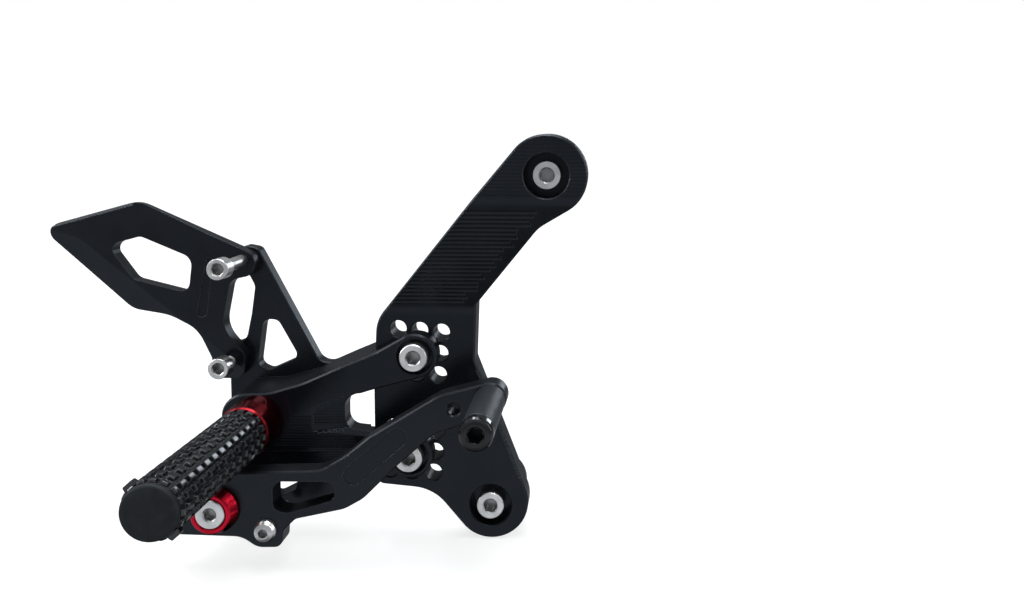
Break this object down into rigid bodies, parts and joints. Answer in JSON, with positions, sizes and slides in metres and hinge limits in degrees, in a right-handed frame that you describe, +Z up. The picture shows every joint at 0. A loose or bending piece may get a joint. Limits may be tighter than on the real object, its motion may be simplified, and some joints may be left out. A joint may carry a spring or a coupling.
{
  "type": "rear-set foot peg assembly",
  "caption": "Right-hand motorcycle rear-set: knurled foot peg, heel guard and sprung brake pedal on an adjustable bracket and a frame plate with spacers.",
  "frame": {"origin": "on the axis of the lower frame bolt, in the plane of the spacers' inboard faces that rest on the motorcycle frame", "axes": "+X towards the front of the motorcycle, +Y inboard (the foot peg points along -Y), +Z up"},
  "size_m": [0.2654, 0.14, 0.1963],
  "materials": {
    "black_anodised_aluminium": "satin black anodised, fine milling lines",
    "red_anodised_aluminium": "gloss red anodised",
    "stainless_steel": "bright turned stainless steel",
    "bearing_steel": "ground",
    "brass": "machined",
    "spring_steel": "oiled dark",
    "grey_end_cap": "matte dark grey",
    "gloss_black_aluminium": "gloss black anodised",
    "blue_grey_aluminium": "satin dark blue-grey anodised, turned"
  },
  "bodies": {
    "root": {"frame_plate": "black_anodised_aluminium", "frame_spacer_lower": "black_anodised_aluminium", "frame_spacer_upper": "black_anodised_aluminium", "frame_bolt_lower": "stainless_steel", "frame_bolt_upper": "stainless_steel", "peg_bracket": "black_anodised_aluminium", "bracket_bolts": "stainless_steel", "peg_collar": "red_anodised_aluminium", "peg_barrel": "gloss_black_aluminium", "peg_bolt": "stainless_steel", "peg_end_cap": "grey_end_cap", "heel_guard": "black_anodised_aluminium", "heel_guard_screw_upper": "stainless_steel", "heel_guard_screw_lower": "stainless_steel", "pedal_stop_pin": "bearing_steel", "pivot_cup_washer": "red_anodised_aluminium", "pivot_bolt": "stainless_steel", "pivot_bearing_inner": "bearing_steel", "pivot_bearing_balls": "bearing_steel", "pivot_bearing_cage": "brass", "pivot_spacer": "bearing_steel", "pedal_return_spring": "spring_steel", "spring_pin_bracket": "bearing_steel"},
    "brake_pedal": {"brake_pedal": "black_anodised_aluminium", "pivot_bearing_outer": "bearing_steel", "pivot_circlip": "spring_steel", "toe_peg": "blue_grey_aluminium", "rod_screw": "stainless_steel", "rod_screw_nut": "stainless_steel", "spring_pin_pedal": "bearing_steel"}
  },
  "joints": [
    {"name": "pedal_pivot", "type": "hinge", "parent": "root", "child": "brake_pedal", "pos_m": [-0.1184, -0.054, 0.0123], "axis": [0, 1, 0], "range_deg": [0, 10], "stiffness_Nm_per_rad": 2, "springref_deg": -20.05, "deforming": ["pedal_return_spring"]}
  ]
}
